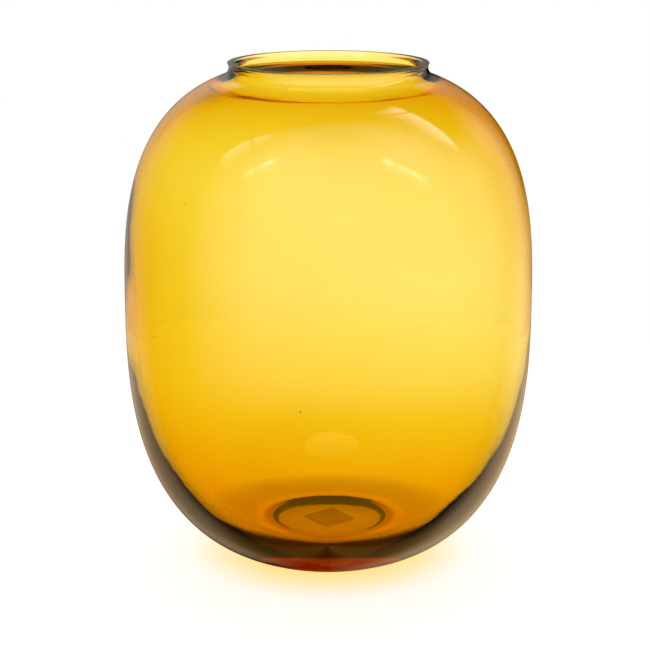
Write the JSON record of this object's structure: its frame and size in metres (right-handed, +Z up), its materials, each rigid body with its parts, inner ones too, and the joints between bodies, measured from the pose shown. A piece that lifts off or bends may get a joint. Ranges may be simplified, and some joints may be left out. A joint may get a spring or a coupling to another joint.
{
  "type": "glass vase",
  "caption": "Wide-mouthed round vase of clear amber blown glass with a flat-cut rim, thick pushed-up base and a blank label under it; holds a bouquet.",
  "frame": {"origin": "centre of the standing ring, on the surface that the vase stands on", "axes": "+Z up along the vase's axis; the vase is round, so +X and +Y are free and only the label's turn refers to them"},
  "size_m": [0.2, 0.2, 0.246],
  "materials": {
    "amber_glass": "clear, polished, slightly wavy blown glass, deeper amber where it is thick",
    "label_film": "matt blank adhesive film"
  },
  "bodies": {
    "root": {"vase_body": "amber_glass", "base_label": "label_film"}
  },
  "joints": []
}
